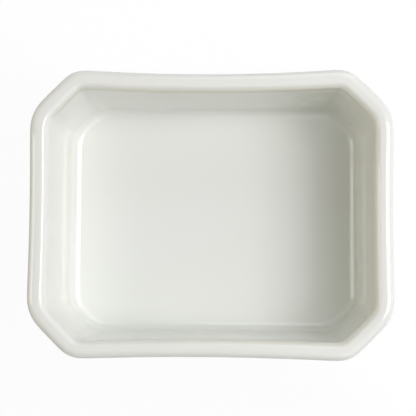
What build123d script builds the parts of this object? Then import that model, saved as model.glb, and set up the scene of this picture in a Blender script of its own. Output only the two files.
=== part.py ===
"""Porcelain table holder for paper sugar packets: an oblong dish with cut corners, a rolled lip and a foot ring.

The dish is a biscuit body dipped in white glaze. The foot ring is wiped bare, so the glaze is two separate pieces:
a coat over the outside, the lip and the inside, and a patch on the underside within the ring.

Millimetres, +Z up. The origin is on the table, under the middle of the dish. +X runs along the longer side.
"""

import os
from math import radians, sqrt, tan

from build123d import *

# Plan of the lip, before its corners are rounded
length = 108.0
width = 86.0
corner_cut = 13.0
corner_radius = 12.0
end_bow = 0.5
side_bow = 1.2

# Heights
height = 38.0
foot_height = 1.6
floor_thickness = 4.4

# Wall and rolled lip
wall = 4.0
wall_draft = 5.2
lip_overhang = 1.2
lip_band = 2.6
lip_flare = 3.0
lip_edge = 2.3
lip_round = 2.5

# Floor and base
floor_round = 4.2
floor_corner_cut = 9.5
floor_corner_radius = 6.0
base_round = 7.0
straightened_bow = 0.25

# Foot ring
foot_width = 3.0
foot_setback = 0.6
foot_corner_radius = 6.0
foot_edge = 0.5

# Glaze
glaze_thickness = 0.3

# Places that follow from the sizes above
lip_width = lip_overhang + wall
floor_level = foot_height + floor_thickness
parallel_cut = 2 - sqrt(2)
level_tolerance = 0.01


def outline(inset, z, cut, radius, bow=1.0):
    """The eight-sided plan of the dish at one height, with bowed sides and rounded corners."""
    half_x = length / 2 - inset
    half_y = width / 2 - inset
    end_middle = half_x - end_bow * bow
    side_middle = half_y - side_bow * bow
    end_y = half_y - cut
    side_x = half_x - cut
    edges = [
        ThreePointArc((half_x, -end_y), (end_middle, 0), (half_x, end_y)),
        Line((half_x, end_y), (side_x, half_y)),
        ThreePointArc((side_x, half_y), (0, side_middle), (-side_x, half_y)),
        Line((-side_x, half_y), (-half_x, end_y)),
        ThreePointArc((-half_x, end_y), (-end_middle, 0), (-half_x, -end_y)),
        Line((-half_x, -end_y), (-side_x, -half_y)),
        ThreePointArc((-side_x, -half_y), (0, -side_middle), (side_x, -half_y)),
        Line((side_x, -half_y), (half_x, -end_y)),
    ]
    face = make_face(edges)
    return Pos(0, 0, z) * fillet(face.vertices(), radius)


def parallel_outline(inset, z, bow=1.0):
    """An outline whose sides, cuts and corners run parallel to the lip's own plan."""
    return outline(inset, z, corner_cut - parallel_cut * inset, corner_radius - inset, bow)


def draft_inset(drop):
    """How far a drafted wall moves in over this drop."""
    return drop * tan(radians(wall_draft))


def edges_at(solid, z):
    """The level edges of a solid at one height."""
    return solid.edges().filter_by_position(Axis.Z, z - level_tolerance, z + level_tolerance)


def outside_form(depth):
    """The whole outside up to the top of the lip, solid, this far under the glazed surface."""
    top = height - depth
    bottom = foot_height + depth
    lip_bottom = height - lip_band
    flare_bottom = lip_bottom - lip_flare
    wall_face = lip_overhang + depth
    base_face = wall_face + draft_inset(flare_bottom - bottom)
    block = loft(
        [
            parallel_outline(base_face, bottom, straightened_bow),
            parallel_outline(wall_face, flare_bottom),
            parallel_outline(depth, lip_bottom),
            parallel_outline(depth, top),
        ],
        ruled=True,
    )
    block = fillet(edges_at(block, bottom), base_round - depth)
    block = fillet(edges_at(block, flare_bottom), lip_round + depth)
    block = fillet(edges_at(block, lip_bottom), lip_round - depth)
    return fillet(edges_at(block, top), lip_edge - depth)


def cavity_form(depth):
    """The hollow for the packets, this far under the glazed surface."""
    bottom = floor_level - depth
    mouth_face = lip_width - depth
    floor_face = mouth_face + draft_inset(height - bottom)
    floor_plan = outline(floor_face, bottom, floor_corner_cut, floor_corner_radius, straightened_bow)
    hollow = loft([floor_plan, parallel_outline(mouth_face, height)], ruled=True)
    return fillet(edges_at(hollow, bottom), floor_round + depth)


def dish_form(depth):
    """The dish without its foot ring, this far under the glazed surface."""
    dish = outside_form(depth) - cavity_form(depth)
    crest = dish.faces().sort_by(Axis.Z)[-1]
    return fillet(crest.inner_wires()[0].edges(), lip_edge - depth)


def foot_ring():
    """The standing ring under the base, up to the biscuit that it is part of."""
    wall_drop = height - lip_band - lip_flare - foot_height
    ring_face = lip_overhang + draft_inset(wall_drop) + base_round + foot_setback
    ring_cut = corner_cut - parallel_cut * ring_face
    hole_cut = ring_cut - parallel_cut * foot_width
    hole_radius = foot_corner_radius - foot_width
    outer_plan = outline(ring_face, 0, ring_cut, foot_corner_radius, straightened_bow)
    inner_plan = outline(ring_face + foot_width, 0, hole_cut, hole_radius, straightened_bow)
    ring = extrude(outer_plan - inner_plan, foot_height + glaze_thickness)
    return fillet(edges_at(ring, 0), foot_edge)


os.makedirs("parts", exist_ok=True)

porcelain_body = dish_form(glaze_thickness) + foot_ring()
glaze = dish_form(0) - porcelain_body
underside_glaze, glaze_coat = glaze.solids().sort_by(SortBy.VOLUME)

export_step(porcelain_body, "parts/porcelain_body.step")
export_step(glaze_coat, "parts/glaze_coat.step")
export_step(underside_glaze, "parts/underside_glaze.step")
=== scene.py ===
"""A white porcelain table dish for paper sugar packets, seen from above on a white table.

The dish is put together as it is made: the fired biscuit body, the glaze that it is dipped in, and the
patch of glaze left under it when its foot ring is wiped clean. Sizes are in metres and +Z is up, with the
origin on the table under the middle of the dish.
"""

from math import cos, pi, radians, sin, sqrt, tan

import bmesh
import bpy
from mathutils import Matrix, Vector


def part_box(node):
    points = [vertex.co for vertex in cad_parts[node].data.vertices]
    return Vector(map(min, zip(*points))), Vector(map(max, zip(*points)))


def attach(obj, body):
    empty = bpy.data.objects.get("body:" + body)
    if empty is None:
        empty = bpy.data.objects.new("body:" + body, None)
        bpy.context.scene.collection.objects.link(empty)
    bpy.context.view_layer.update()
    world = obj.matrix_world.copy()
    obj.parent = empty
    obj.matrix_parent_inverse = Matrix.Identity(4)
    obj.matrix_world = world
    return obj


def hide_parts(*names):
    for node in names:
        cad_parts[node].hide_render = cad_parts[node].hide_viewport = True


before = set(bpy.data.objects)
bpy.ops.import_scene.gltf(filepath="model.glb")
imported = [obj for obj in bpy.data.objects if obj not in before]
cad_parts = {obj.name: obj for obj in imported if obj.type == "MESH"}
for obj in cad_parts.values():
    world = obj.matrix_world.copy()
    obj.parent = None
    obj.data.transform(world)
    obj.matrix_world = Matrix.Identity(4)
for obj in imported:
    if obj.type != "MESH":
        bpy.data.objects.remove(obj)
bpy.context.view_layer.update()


# Biscuit body
# The dish itself: porcelain slip cast in a plaster mould, trimmed and fired once to a matt, gritty white.
# Its walls lean out to a rolled lip, its corners are cut, and it stands on a narrow ring that stays bare.

MM = 0.001

# The lip's outer plan: half its length and width, its cut corners with the rounds at both ends of a cut, and
# how far its ends and its two long sides are bowed in.
HALF_LENGTH = 54.0 * MM
HALF_WIDTH = 42.9 * MM
CORNER_CUT = 13.0 * MM
END_CORNER = 13.0 * MM
SIDE_CORNER = 10.0 * MM
END_BOW = 0.5 * MM
BACK_BOW = 1.55 * MM
FRONT_BOW = 0.95 * MM

# How an inset plan follows the outer one. A cut shrinks by PARALLEL_CUT of the inset to stay parallel, the
# long sides move in by SIDE_SHARE of it, and past the lip's width the ends and sides move in a little less.
PARALLEL_CUT = 2 - sqrt(2)
SIDE_SHARE = 0.94
END_EASE = 0.06
SIDE_EASE = 0.08

# The hollow is a little uneven, as cast ware is. Its mouth lies forward and its floor back, and the mouth is
# a little narrower and keeps only MOUTH_BOW of the lip's bow.
MOUTH_SHIFT = -0.2 * MM
MOUTH_BOW = 0.78
MOUTH_NARROWING = 0.007
FLOOR_SHIFT = 0.2 * MM

# Levels above the table.
LIP_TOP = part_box("glaze_coat")[1].z
BASE_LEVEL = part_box("glaze_coat")[0].z
FLOOR_THICKNESS = 4.4 * MM
FLOOR_LEVEL = BASE_LEVEL + FLOOR_THICKNESS
GLAZE_DEPTH = LIP_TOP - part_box("porcelain_body")[1].z

# The profile of the wall, the lip, the base and the floor. LOW_BOW is the share of the bow left at the foot.
WALL_DRAFT = radians(5.2)
WALL_SLOPE = tan(WALL_DRAFT)
LIP_WIDTH = 5.62 * MM
LIP_OVERHANG = 1.2 * MM
LIP_BAND = 2.6 * MM
FLARE_HEIGHT = 4.2 * MM
LIP_CROWN_REACH = 2.75 * MM
LIP_CROWN_DROP = 2.2 * MM
LIP_BREAK_RADIUS = 1.6 * MM
LIP_SLOPE_TILT = radians(42)
LIP_SLOPE_LENGTH = 0.7 * MM
LIP_FOOT_RADIUS = 1.7 * MM
BASE_RADIUS = 7.0 * MM
FLOOR_RADIUS = 4.2 * MM
FLOOR_CUT = 8.0 * MM
FLOOR_CORNER = 9.6 * MM
LOW_BOW = 0.25

# The standing ring, the innermost plan of the recess inside it, and the least corners.
RING_FACE = 11.6 * MM
RING_WIDTH = 3.0 * MM
RING_EDGE = 0.5 * MM
RING_CORNER = 6.0 * MM
RECESS_INSET = 0.8 * HALF_WIDTH
LEAST_CUT = 3.0 * MM
LEAST_CORNER = 1.5 * MM

# Steps of the mesh along each stretch of the plan, then of the profile.
CORNER_STEPS = 4
END_STEPS = 3
SIDE_STEPS = 5
RING_STEPS = 3
BASE_STEPS = 4
OUTER_WALL_STEPS = 3
FLARE_STEPS = 4
CROWN_STEPS = 6
BREAK_STEPS = 4
SLOPE_FOOT_STEPS = 3
INNER_WALL_STEPS = 4
FLOOR_ROUND_STEPS = 6
FLOOR_STEPS = 3


def spread(start, end, steps):
    """Even steps from start to end, both included."""
    return [start + (end - start) * step / steps for step in range(steps + 1)]


def arc(centre_x, centre_y, radius, start, end):
    """Points round a corner of the plan."""
    turns = spread(start, end, CORNER_STEPS)
    return [Vector((centre_x + radius * cos(turn), centre_y + radius * sin(turn))) for turn in turns]


def quarter_plan(inset, cut, end_corner, side_corner):
    """The plan from the middle of the +X end, round the corner cut, to the middle of the +Y side."""
    half_x = HALF_LENGTH - inset + max(0.0, inset - LIP_WIDTH) * END_EASE
    half_y = HALF_WIDTH - inset * SIDE_SHARE + max(0.0, inset - LIP_WIDTH) * SIDE_EASE
    end_y = half_y - cut - end_corner * tan(pi / 8)
    side_x = half_x - cut - side_corner * tan(pi / 8)
    end_round = arc(half_x - end_corner, end_y, end_corner, 0, pi / 4)
    side_round = arc(side_x, half_y - side_corner, side_corner, pi / 4, pi / 2)
    points = [Vector((half_x, y)) for y in spread(0, end_y, END_STEPS)[:-1]]
    points += end_round + [(end_round[-1] + side_round[0]) / 2] + side_round
    points += [Vector((x, half_y)) for x in spread(side_x, 0, SIDE_STEPS)[1:]]
    return points


def plan(inset, z, cut, end_corner, side_corner, bow):
    """The closed plan of the dish at one height, with its sides and ends bowed in."""
    cut = max(cut, LEAST_CUT)
    quarter = quarter_plan(inset, cut, end_corner, side_corner)
    returning = quarter[::-1]
    loop = [(point.x, point.y) for point in quarter]
    loop += [(-point.x, point.y) for point in returning[1:]]
    loop += [(-point.x, -point.y) for point in quarter[1:]]
    loop += [(point.x, -point.y) for point in returning[1:-1]]
    side_reach = HALF_LENGTH - inset - cut
    end_reach = HALF_WIDTH - inset - cut
    end_pinch = END_BOW * bow / (HALF_LENGTH - inset)
    places = []
    for x, y in loop:
        along_side = max(0.0, 1 - (x / side_reach) ** 2)
        along_end = max(0.0, 1 - (y / end_reach) ** 2)
        side_bow = BACK_BOW if y > 0 else FRONT_BOW
        side_pinch = side_bow * bow / (HALF_WIDTH - inset)
        places.append(Vector((x * (1 - end_pinch * along_end), y * (1 - side_pinch * along_side), z)))
    return places


def outer_plan(inset, z, least_corner=RING_CORNER):
    """A plan of the outside, parallel to the lip."""
    height_share = min(1.0, (z - BASE_LEVEL) / (LIP_TOP - LIP_BAND - FLARE_HEIGHT - BASE_LEVEL))
    bow = LOW_BOW + (1 - LOW_BOW) * max(0.0, height_share)
    end_corner = max(END_CORNER - inset, least_corner)
    side_corner = max(SIDE_CORNER - inset, least_corner)
    return plan(inset, z, CORNER_CUT - PARALLEL_CUT * inset, end_corner, side_corner, bow)


def inner_plan(inset, z):
    """A plan of the hollow, from the mouth's long cuts to the floor's shorter ones."""
    mouth_cut = CORNER_CUT - PARALLEL_CUT * LIP_WIDTH
    floor_inset = LIP_WIDTH + (LIP_TOP - FLOOR_LEVEL) * WALL_SLOPE
    share = max(0.0, min(1.0, (inset - LIP_WIDTH) / (floor_inset - LIP_WIDTH)))
    spare = max(0.0, LIP_WIDTH - inset) - max(0.0, inset - floor_inset)
    cut = mouth_cut + (FLOOR_CUT - mouth_cut) * share + PARALLEL_CUT * spare
    corners = []
    for outer_corner in (END_CORNER, SIDE_CORNER):
        mouth_corner = outer_corner - LIP_WIDTH
        corner = mouth_corner + (FLOOR_CORNER - mouth_corner) * share + spare
        corners.append(max(corner, LEAST_CORNER))
    bow = MOUTH_BOW + (LOW_BOW - MOUTH_BOW) * share
    shift = MOUTH_SHIFT + (FLOOR_SHIFT - MOUTH_SHIFT) * share
    narrowing = 1 - MOUTH_NARROWING * (1 - share)
    places = plan(inset, z, cut, corners[0], corners[1], bow)
    return [Vector((place.x, place.y * narrowing + shift, z)) for place in places]


def outside_loops(depth):
    """Plans of the outside from the base's round to the lip's top, this far under the glazed surface."""
    wall_top = LIP_TOP - LIP_BAND - FLARE_HEIGHT
    wall_face = LIP_OVERHANG + depth
    radius = BASE_RADIUS - depth
    base = BASE_LEVEL + depth
    round_level = base + radius
    round_inset = wall_face + (wall_top - round_level) * WALL_SLOPE + radius / cos(WALL_DRAFT)
    loops = []
    for turn in spread(pi / 2, WALL_DRAFT, BASE_STEPS):
        loops.append(outer_plan(round_inset - radius * cos(turn), round_level - radius * sin(turn)))
    round_top = round_level - radius * sin(WALL_DRAFT)
    for z in spread(round_top, wall_top, OUTER_WALL_STEPS)[1:]:
        loops.append(outer_plan(wall_face + (wall_top - z) * WALL_SLOPE, z))
    for share in spread(0.0, 1.0, FLARE_STEPS)[1:]:
        swell = (1 + cos(pi * share)) / 2
        loops.append(outer_plan(depth + LIP_OVERHANG * swell, wall_top + FLARE_HEIGHT * share))
    for turn in spread(0.0, pi / 2, CROWN_STEPS):
        inset = LIP_CROWN_REACH - (LIP_CROWN_REACH - depth) * cos(turn)
        crown = (LIP_CROWN_DROP - depth) * sin(turn)
        loops.append(outer_plan(inset, LIP_TOP - LIP_CROWN_DROP + crown))
    return loops


def inside_loops(depth):
    """Plans of the hollow from the lip's top to the floor's middle, this far under the glazed surface."""
    upright = pi / 2 - WALL_DRAFT
    slope_run = LIP_SLOPE_LENGTH * cos(LIP_SLOPE_TILT)
    slope_drop = LIP_SLOPE_LENGTH * sin(LIP_SLOPE_TILT)
    break_level = LIP_TOP - LIP_BREAK_RADIUS
    step_back = LIP_BREAK_RADIUS - LIP_FOOT_RADIUS
    foot_level = break_level + step_back * cos(LIP_SLOPE_TILT) - slope_drop
    wall_top = foot_level + LIP_FOOT_RADIUS * cos(upright)
    foot_inset = LIP_WIDTH + (LIP_TOP - wall_top) * WALL_SLOPE - LIP_FOOT_RADIUS * sin(upright)
    break_inset = foot_inset - step_back * sin(LIP_SLOPE_TILT) - slope_run
    loops = []
    radius = LIP_BREAK_RADIUS - depth
    for turn in spread(0.0, LIP_SLOPE_TILT, BREAK_STEPS):
        loops.append(inner_plan(break_inset + radius * sin(turn), break_level + radius * cos(turn)))
    radius = LIP_FOOT_RADIUS - depth
    for turn in spread(LIP_SLOPE_TILT, upright, SLOPE_FOOT_STEPS):
        loops.append(inner_plan(foot_inset + radius * sin(turn), foot_level + radius * cos(turn)))
    wall_top = foot_level + radius * cos(upright)
    mouth_face = LIP_WIDTH - depth / cos(WALL_DRAFT)
    radius = FLOOR_RADIUS + depth
    round_level = FLOOR_LEVEL + FLOOR_RADIUS
    round_inset = LIP_WIDTH + (LIP_TOP - round_level) * WALL_SLOPE + FLOOR_RADIUS / cos(WALL_DRAFT)
    round_top = round_level - radius * sin(WALL_DRAFT)
    for z in spread(wall_top, round_top, INNER_WALL_STEPS)[1:-1]:
        loops.append(inner_plan(mouth_face + (LIP_TOP - z) * WALL_SLOPE, z))
    for turn in spread(WALL_DRAFT, pi / 2, FLOOR_ROUND_STEPS):
        loops.append(inner_plan(round_inset - radius * cos(turn), round_level - radius * sin(turn)))
    for inset in spread(round_inset, HALF_WIDTH, FLOOR_STEPS)[1:-1]:
        loops.append(inner_plan(inset, FLOOR_LEVEL - depth))
    return loops


def draw_loop(mesh, places):
    """The first loop of a surface."""
    ring = bmesh.ops.create_circle(mesh, segments=len(places), radius=1.0)["verts"]
    for vert, place in zip(ring, places):
        vert.co = place
    return ring


def pull_loop(mesh, ring, places):
    """Extrudes a loop of edges and sets the new loop at its own plan."""
    edges = [mesh.edges.get((ring[at - 1], vert)) for at, vert in enumerate(ring)]
    made = bmesh.ops.extrude_edge_only(mesh, edges=edges)["geom"]
    fresh = {item for item in made if isinstance(item, bmesh.types.BMVert)}
    pulled = []
    for vert, place in zip(ring, places):
        partner = next(edge.other_vert(vert) for edge in vert.link_edges if edge.other_vert(vert) in fresh)
        partner.co = place
        pulled.append(partner)
    return pulled


def cap_loop(mesh, ring):
    """Closes a loop with a flat fan of faces."""
    edges = [mesh.edges.get((ring[at - 1], vert)) for at, vert in enumerate(ring)]
    flat = bmesh.ops.contextual_create(mesh, geom=edges)["faces"]
    bmesh.ops.poke(mesh, faces=flat)


def surface(loops, cap_start, cap_end):
    """A smooth skin pulled through the loops, with either end closed."""
    mesh = bmesh.new()
    ring = draw_loop(mesh, loops[0])
    if cap_start:
        cap_loop(mesh, ring)
    for places in loops[1:]:
        ring = pull_loop(mesh, ring, places)
    if cap_end:
        cap_loop(mesh, ring)
    return mesh


def piece_from(name, mesh, material):
    """Turns a finished mesh into a smooth-shaded object of its own material."""
    for face in mesh.faces:
        face.smooth = True
    data = bpy.data.meshes.new(name)
    mesh.to_mesh(data)
    mesh.free()
    piece = bpy.data.objects.new(name, data)
    bpy.context.collection.objects.link(piece)
    piece.data.materials.append(material)
    return piece


def soften(piece, levels):
    """Subdivides a piece so that its rounds flow into each other."""
    rounds = piece.modifiers.new("rounds", "SUBSURF")
    rounds.levels = levels
    rounds.render_levels = levels


class Wire:
    """A socket of one material's nodes, so that shader maths reads as plain expressions."""

    def __init__(self, tree, socket=None):
        self.tree = tree
        self.socket = socket

    def node(self, kind, settings=None, sockets=None, out=0):
        """Adds a node with these settings and socket values or links, and gives one of its outputs."""
        made = self.tree.nodes.new(kind)
        for name, value in (settings or {}).items():
            if name == "stops":
                for stop, (place, colour) in zip(made.color_ramp.elements, value):
                    stop.position = place
                    stop.color = colour
            else:
                setattr(made, name, value)
        for name, value in (sockets or {}).items():
            if isinstance(value, Wire):
                self.tree.links.new(value.socket, made.inputs[name])
            else:
                made.inputs[name].default_value = value
        return Wire(self.tree, made.outputs[out]) if made.outputs else None

    def blend(self, share, first, second):
        """Mixes two colours."""
        factor, first_colour, second_colour, mixed = 0, 6, 7, 2
        sockets = {factor: share, first_colour: first, second_colour: second}
        return self.node("ShaderNodeMix", {"data_type": "RGBA"}, sockets, out=mixed)

    def ease(self, value, start, end):
        """Rises smoothly from 0 at start to 1 at end."""
        sockets = {"Value": value, "From Min": start, "From Max": end}
        return self.node("ShaderNodeMapRange", {"interpolation_type": "SMOOTHSTEP"}, sockets)

    def maths(self, operation, first, second):
        """One operation on two values."""
        return self.node("ShaderNodeMath", {"operation": operation}, {0: first, 1: second})

    def __add__(self, other):
        return self.maths("ADD", self, other)

    __radd__ = __add__

    def __mul__(self, other):
        return self.maths("MULTIPLY", self, other)

    __rmul__ = __mul__


def blank_material(name):
    """A new material without nodes, and a wire to start them from."""
    material = bpy.data.materials.new(name)
    material.use_nodes = True
    material.node_tree.nodes.clear()
    return material, Wire(material.node_tree)


def close_material(wire, shader):
    """Joins the last shader to the material's surface."""
    wire.node("ShaderNodeOutputMaterial", sockets={"Surface": shader})


def bare_biscuit():
    """Fired porcelain without glaze: matt, chalky, with fine grit and the odd grey scuff from the table."""
    white = (0.80, 0.78, 0.73, 1)
    scuffed = (0.60, 0.58, 0.54, 1)
    scuff_scale = 140
    scuff_stops = [(0.56, (0, 0, 0, 1)), (0.74, (1, 1, 1, 1))]
    grit_scale = 2600
    grit_height = 0.06 * MM
    grit_strength = 0.5
    least_roughness = 0.62
    grit_roughness = 0.2
    material, wire = blank_material("bare_biscuit")
    place = wire.node("ShaderNodeTexCoord", out="Object")
    grit = wire.node("ShaderNodeTexNoise", sockets={"Vector": place, "Scale": grit_scale, "Detail": 3})
    scuff = wire.node("ShaderNodeTexNoise", sockets={"Vector": place, "Scale": scuff_scale, "Detail": 4})
    worn = wire.node("ShaderNodeValToRGB", {"stops": scuff_stops}, {"Fac": scuff})
    colour = wire.blend(worn, white, scuffed)
    roughness = least_roughness + grit_roughness * grit
    bump_sockets = {"Strength": grit_strength, "Distance": grit_height, "Height": grit}
    bump = wire.node("ShaderNodeBump", sockets=bump_sockets)
    shader_sockets = {"Base Color": colour, "Roughness": roughness, "Normal": bump}
    shader = wire.node("ShaderNodeBsdfPrincipled", sockets=shader_sockets)
    close_material(wire, shader)
    return material


def ring_loops():
    """Plans of the biscuit's underside, from the middle of the recess over the standing ring to the base."""
    recess = BASE_LEVEL + GLAZE_DEPTH
    inner_face = RING_FACE + RING_WIDTH
    recess_insets = spread(RECESS_INSET, inner_face, RING_STEPS)
    loops = [outer_plan(inset, recess, LEAST_CORNER) for inset in recess_insets]
    loops.append(outer_plan(inner_face, recess - RING_EDGE, LEAST_CORNER))
    for turn in spread(0.0, pi / 2, RING_STEPS):
        edge_inset = inner_face - RING_EDGE + RING_EDGE * cos(turn)
        loops.append(outer_plan(edge_inset, RING_EDGE - RING_EDGE * sin(turn), LEAST_CORNER))
    for turn in spread(pi / 2, 0.0, RING_STEPS):
        edge_inset = RING_FACE + RING_EDGE - RING_EDGE * cos(turn)
        loops.append(outer_plan(edge_inset, RING_EDGE - RING_EDGE * sin(turn)))
    loops.append(outer_plan(RING_FACE, recess - RING_EDGE))
    loops.append(outer_plan(RING_FACE, recess))
    return loops


body_loops = ring_loops() + outside_loops(GLAZE_DEPTH) + inside_loops(GLAZE_DEPTH)
body_mesh = surface(body_loops, cap_start=True, cap_end=True)
bmesh.ops.recalc_face_normals(body_mesh, faces=body_mesh.faces)
biscuit_body = piece_from("biscuit_body", body_mesh, bare_biscuit())
soften(biscuit_body, levels=1)
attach(biscuit_body, "root")
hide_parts("porcelain_body")


# Glaze coat
# Clear glossy glaze over the white body, fused on in a second firing, about 0.3 mm thick. It runs from the
# wiped edge at the foot ring up the outside, over the lip and down across the floor.


def white_glaze():
    """White under clear gloss, faintly green where it pools, warm where it runs thinly over the lip and
    where bounce light is painted, with painted shade at the +X end and under the back lip.

    Each pair of numbers is where a tint starts and where it is full.
    """
    pooled = (0.822, 0.825, 0.79, 1)
    pooled_deep = (0.804, 0.803, 0.758, 1)
    cloud_scale = 22

    # Streaks drawn out along the wall of the +X end, an olive painted shade mottled by noise in its back
    # corner, where the end wall shades the back wall, and painted shade on the floor along its foot.
    streak = (0.848, 0.822, 0.77, 1)
    streak_scale = 420
    streak_stretch = (1, 0.08, 1)
    streak_band = (0.4, 0.6)
    streak_along = (40 * MM, 45 * MM)
    # Painted shade: olive, mottled by noise, on the back wall where the +X end shades it.
    corner_shade_olive = (0.715, 0.72, 0.65, 1)
    corner_shade_scale = 130
    corner_shade_raggedness = 0.62
    corner_shade_band = (0.25, 0.6)
    corner_shade_along = (4 * MM, 34 * MM)
    corner_shade_share = 0.9
    # Painted shade on the floor along the foot of the +X end wall, which shades it.
    foot_shade = (0.75, 0.757, 0.688, 1)
    foot_shade_along = (34 * MM, 42 * MM)

    # The lip, greyed by a painted shade at the +X end, under the brightest light, and its inner edge, where
    # the glaze runs thinly and painted warm bounce light is added, strongest towards the +X end, with
    # painted shade just under the edge at the back.
    lip_white = (0.825, 0.812, 0.775, 1)
    # Painted shade: the lip's crown a little greyer at the +X end.
    lip_end_shade = (0.785, 0.772, 0.735, 1)
    lip_end_shade_along = (40 * MM, 47 * MM)
    # Glaze running thinly on the inner edge, with painted warm bounce light that fades towards the -X end.
    edge_glaze_and_bounce = (0.785, 0.76, 0.655, 1)
    edge_bounce_along = (-60 * MM, 30 * MM)
    edge_glaze_and_bounce_share = 0.5
    # Thinly running glaze and painted shade just under the lip's inner edge along the back.
    back_edge_glaze_and_shade = (0.71, 0.69, 0.585, 1)
    back_edge_glaze_and_shade_share = 0.7
    back_across = (25 * MM, 34 * MM)

    # Which way a face points: into the hollow, as its place times its normal, or up, as its normal's rise.
    hollow_facing = (-4 * MM, -16 * MM)
    floor_facing = (0.15, 0.6)

    # Heights at which each tint comes in and goes out.
    wall_in = (FLOOR_LEVEL, FLOOR_LEVEL + 3 * MM)
    wall_out = (LIP_TOP - 2 * MM, LIP_TOP - 6 * MM)
    floor_out = (FLOOR_LEVEL + 6 * MM, FLOOR_LEVEL + 3 * MM)
    lip_in = (LIP_TOP - 9 * MM, LIP_TOP - 2 * MM)
    crown_in = (LIP_TOP - 2.2 * MM, LIP_TOP - 0.8 * MM)
    edge_in = (LIP_TOP - 2.4 * MM, LIP_TOP - 1.1 * MM)
    edge_out = (LIP_TOP - 0.1 * MM, LIP_TOP - 0.5 * MM)
    under_edge_in = (LIP_TOP - 4.4 * MM, LIP_TOP - 2.4 * MM)
    under_edge_out = (LIP_TOP - 0.5 * MM, LIP_TOP - 1.5 * MM)

    # The gloss, and the slow waves that firing leaves in it.
    wave_scale = 70
    wave_height = 0.1 * MM
    wave_strength = 0.4
    least_roughness = 0.04
    cloud_roughness = 0.04
    glass_index = 1.55

    material, wire = blank_material("white_glaze")
    place = wire.node("ShaderNodeTexCoord", out="Object")
    facing = wire.node("ShaderNodeNewGeometry", out="Normal")
    along = wire.node("ShaderNodeSeparateXYZ", sockets={"Vector": place}, out="X")
    across = wire.node("ShaderNodeSeparateXYZ", sockets={"Vector": place}, out="Y")
    height = wire.node("ShaderNodeSeparateXYZ", sockets={"Vector": place}, out="Z")
    upward = wire.node("ShaderNodeSeparateXYZ", sockets={"Vector": facing}, out="Z")
    level = wire.node("ShaderNodeVectorMath", {"operation": "MULTIPLY"}, {0: place, 1: (1, 1, 0)})
    lean = {0: facing, 1: level}
    outward = wire.node("ShaderNodeVectorMath", {"operation": "DOT_PRODUCT"}, lean, out="Value")
    drawn_out = wire.node("ShaderNodeVectorMath", {"operation": "MULTIPLY"}, {0: place, 1: streak_stretch})

    clouds = wire.node("ShaderNodeTexNoise", sockets={"Vector": place, "Scale": cloud_scale, "Detail": 3})
    waves = wire.node("ShaderNodeTexNoise", sockets={"Vector": place, "Scale": wave_scale, "Detail": 1})
    streak_sockets = {"Vector": drawn_out, "Scale": streak_scale, "Detail": 2}
    streaks = wire.node("ShaderNodeTexNoise", sockets=streak_sockets)
    drift_sockets = {"Vector": place, "Scale": corner_shade_scale, "Detail": 5, "Roughness": corner_shade_raggedness}
    drift = wire.node("ShaderNodeTexNoise", sockets=drift_sockets)

    inward = wire.ease(outward, *hollow_facing)
    on_wall = wire.ease(height, *wall_in) * wire.ease(height, *wall_out) * inward
    on_floor = wire.ease(upward, *floor_facing) * wire.ease(height, *floor_out)
    on_lip = wire.ease(height, *lip_in)
    on_crown = wire.ease(height, *crown_in)
    on_edge = wire.ease(height, *edge_in) * wire.ease(height, *edge_out) * inward
    under_edge = wire.ease(height, *under_edge_in) * wire.ease(height, *under_edge_out) * inward
    at_back = wire.ease(across, *back_across)
    streaked = wire.ease(streaks, *streak_band) * on_wall * wire.ease(along, *streak_along)
    in_corner = wire.ease(along, *corner_shade_along) * at_back
    # Mask of the painted shade in the back corner of the +X end.
    corner_shaded = wire.ease(drift, *corner_shade_band) * on_wall * in_corner * corner_shade_share

    colour = wire.blend(clouds, pooled, pooled_deep)
    colour = wire.blend(streaked, colour, streak)
    # Painted shade in the back corner of the +X end.
    colour = wire.blend(corner_shaded, colour, corner_shade_olive)
    # Painted shade along the foot of the +X end.
    colour = wire.blend(on_floor * wire.ease(along, *foot_shade_along), colour, foot_shade)
    colour = wire.blend(on_lip, colour, lip_white)
    # Painted shade on the lip at the +X end.
    colour = wire.blend(on_crown * wire.ease(along, *lip_end_shade_along), colour, lip_end_shade)
    # Thinly running glaze and painted warm bounce light on the inner edge.
    colour = wire.blend(on_edge * wire.ease(along, *edge_bounce_along) * edge_glaze_and_bounce_share, colour, edge_glaze_and_bounce)
    # Thinly running glaze and painted shade under the back lip edge.
    colour = wire.blend(under_edge * at_back * back_edge_glaze_and_shade_share, colour, back_edge_glaze_and_shade)

    roughness = least_roughness + cloud_roughness * clouds
    bump_sockets = {"Strength": wave_strength, "Distance": wave_height, "Height": waves}
    bump = wire.node("ShaderNodeBump", sockets=bump_sockets)
    shader_sockets = {"Base Color": colour, "Roughness": roughness, "Normal": bump, "IOR": glass_index}
    shader = wire.node("ShaderNodeBsdfPrincipled", sockets=shader_sockets)
    close_material(wire, shader)
    return material


glaze_finish = white_glaze()
coat_loops = [outer_plan(RING_FACE, BASE_LEVEL)] + outside_loops(0.0) + inside_loops(0.0)
coat_mesh = surface(coat_loops, cap_start=False, cap_end=True)
bmesh.ops.recalc_face_normals(coat_mesh, faces=coat_mesh.faces)
# The coat is an open skin, so its floor tells whether its faces point outwards.
floor_middle = min(coat_mesh.verts, key=lambda vert: vert.co.xy.length)
if floor_middle.link_faces[0].normal.z < 0:
    bmesh.ops.reverse_faces(coat_mesh, faces=coat_mesh.faces)
glaze_coat = piece_from("glaze_coat_skin", coat_mesh, glaze_finish)
soften(glaze_coat, levels=2)
thickness = glaze_coat.modifiers.new("thickness", "SOLIDIFY")
thickness.thickness = GLAZE_DEPTH
thickness.offset = -1
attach(glaze_coat, "root")
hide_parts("glaze_coat")


# Underside glaze
# The same glaze on the underside, left as a flat patch inside the foot ring when the ring is wiped clean. It
# is fused to the biscuit in the same firing as the coat.

PATCH_ROUND = 0.15 * MM
PATCH_MARGIN = 3 * PATCH_ROUND

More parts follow.
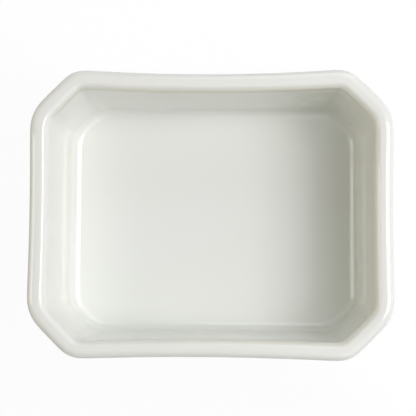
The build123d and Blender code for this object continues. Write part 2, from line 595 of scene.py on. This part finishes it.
patch_face = RING_FACE + RING_WIDTH
patch_loops = [outer_plan(RECESS_INSET, BASE_LEVEL, LEAST_CORNER)]
patch_loops.append(outer_plan(patch_face + PATCH_MARGIN, BASE_LEVEL, LEAST_CORNER))
patch_loops.append(outer_plan(patch_face + PATCH_ROUND, BASE_LEVEL, LEAST_CORNER))
patch_loops.append(outer_plan(patch_face, BASE_LEVEL + PATCH_ROUND, LEAST_CORNER))
patch_loops.append(outer_plan(patch_face, BASE_LEVEL + GLAZE_DEPTH, LEAST_CORNER))
patch_mesh = surface(patch_loops, cap_start=True, cap_end=True)
bmesh.ops.recalc_face_normals(patch_mesh, faces=patch_mesh.faces)
underside_patch = piece_from("underside_patch", patch_mesh, glaze_finish)
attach(underside_patch, "root")
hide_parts("underside_glaze")


# Table, light and camera
# A white table that keeps a faint shadow, and a camera almost straight above the dish. Soft windows of light
# stand round it: a bright pair high on the right between two wide dim ones, a narrow one and a low one on
# the left, and one each behind and in front.

TABLE_HALF = 3.0
AMBIENT = 0.085
ROOM_TINT = (1, 1, 0.88, 1)
WHITE = (1, 1, 1, 1)
CAMERA_AWAY = 330 * MM
CAMERA_AIM = Vector((-0.59, 1.61, 35.5)) * MM
CAMERA_TILT_X = radians(4.4)
CAMERA_TILT_Y = radians(2.8)
CAMERA_ROLL = radians(0.414)
CAMERA_LENS = 97.1


def seen_by_eye(wire):
    """1 for what the camera sees, straight or through gloss and glass, and 0 for light that bounces."""
    camera = wire.node("ShaderNodeLightPath", out="Is Camera Ray")
    glossy = wire.node("ShaderNodeLightPath", out="Is Glossy Ray")
    through = wire.node("ShaderNodeLightPath", out="Is Transmission Ray")
    return camera.maths("MAXIMUM", camera, camera.maths("MAXIMUM", glossy, through))


def table_white():
    """White card that shows nearly all of its white whatever the light, so the shadow on it stays faint.

    Its colour is painted darker towards the front left, a painted shade that dims the light it throws back
    there, on the far side from the brightest windows.
    """
    # Painted shade: the card's colour at the front left.
    card_painted_shade = (0.55, 0.55, 0.55, 1)
    card_bright = (0.97, 0.97, 0.97, 1)
    card_roughness = 0.9
    dim_to_bright = (-30 * MM, 10 * MM)
    glow_share = 0.955
    grain_share = 0.01
    grain_scale = 8
    material, wire = blank_material("table_white")
    place = wire.node("ShaderNodeTexCoord", out="Object")
    grain = wire.node("ShaderNodeTexNoise", sockets={"Vector": place, "Scale": grain_scale, "Detail": 2})
    along = wire.node("ShaderNodeSeparateXYZ", sockets={"Vector": place}, out="X")
    across = wire.node("ShaderNodeSeparateXYZ", sockets={"Vector": place}, out="Y")
    shade = wire.blend(wire.ease(along + across, *dim_to_bright), card_painted_shade, card_bright)
    card = wire.node("ShaderNodeBsdfDiffuse", sockets={"Color": shade, "Roughness": card_roughness})
    glow = wire.node("ShaderNodeEmission", sockets={"Color": WHITE, "Strength": 1.0})
    shown = seen_by_eye(wire) * (glow_share + grain_share * grain)
    shader = wire.node("ShaderNodeMixShader", sockets={"Fac": shown, 1: card, 2: glow})
    close_material(wire, shader)
    return material


table_mesh = bmesh.new()
bmesh.ops.create_grid(table_mesh, x_segments=1, y_segments=1, size=TABLE_HALF)
table = piece_from("table", table_mesh, table_white())

world = bpy.data.worlds.new("studio")
bpy.context.scene.world = world
world.use_nodes = True
world.node_tree.nodes.clear()
sky = Wire(world.node_tree)
eye = seen_by_eye(sky)
room = sky.blend(eye, ROOM_TINT, WHITE)
strength = AMBIENT + (1 - AMBIENT) * eye
backdrop = sky.node("ShaderNodeBackground", sockets={"Color": room, "Strength": strength})
sky.node("ShaderNodeOutputWorld", sockets={"Surface": backdrop})


def soft_window(name, azimuth, elevation, width, tall, radiance, colour):
    """A flat lamp of even brightness that faces the dish from a metre away."""
    lamp = bpy.data.lights.new(name, "AREA")
    lamp.color = colour
    lamp.shape = "RECTANGLE"
    lamp.size = width
    lamp.size_y = tall
    lamp.energy = radiance * pi * width * tall
    holder = bpy.data.objects.new(name, lamp)
    turn = radians(azimuth)
    rise = radians(elevation)
    way = Vector((cos(turn) * cos(rise), sin(turn) * cos(rise), sin(rise)))
    holder.location = way
    holder.rotation_euler = way.to_track_quat("Z", "Y").to_euler()
    bpy.context.collection.objects.link(holder)


PLAIN = (1, 1, 1)
LILAC = (0.98, 0.97, 1)
SKY_BLUE = (0.92, 0.94, 1)
CREAM = (1, 1, 0.95)
AMBER = (1, 0.92, 0.66)
ICE_BLUE = (0.86, 0.97, 1)
ICE_GREEN = (0.86, 1, 0.92)

soft_window("key_window", azimuth=0, elevation=47, width=0.5, tall=0.8, radiance=1.7, colour=PLAIN)
soft_window("key_middle", azimuth=0, elevation=51.5, width=0.5, tall=0.42, radiance=5.85, colour=LILAC)
soft_window("key_back", azimuth=45, elevation=45, width=0.8, tall=0.9, radiance=0.72, colour=SKY_BLUE)
soft_window("key_front", azimuth=-45, elevation=45, width=0.8, tall=0.9, radiance=0.92, colour=SKY_BLUE)
soft_window("fill_window", azimuth=180, elevation=37, width=0.3, tall=0.53, radiance=2.95, colour=CREAM)
soft_window("low_fill", azimuth=180, elevation=16, width=1.3, tall=0.4, radiance=1.14, colour=AMBER)
soft_window("back_window", azimuth=75, elevation=38, width=0.6, tall=0.4, radiance=1.8, colour=ICE_BLUE)
soft_window("front_window", azimuth=-75, elevation=38, width=0.6, tall=0.4, radiance=0.62, colour=ICE_GREEN)

view_turn = Matrix.Rotation(CAMERA_TILT_Y, 3, "Y") @ Matrix.Rotation(CAMERA_TILT_X, 3, "X")
view_turn = view_turn @ Matrix.Rotation(CAMERA_ROLL, 3, "Z")
camera = bpy.data.objects.new("camera", bpy.data.cameras.new("camera"))
camera.data.lens = CAMERA_LENS
camera.rotation_euler = view_turn.to_euler()
camera.location = CAMERA_AIM + view_turn @ Vector((0, 0, CAMERA_AWAY))
bpy.context.collection.objects.link(camera)
bpy.context.scene.camera = camera
bpy.context.scene.view_settings.view_transform = "Standard"
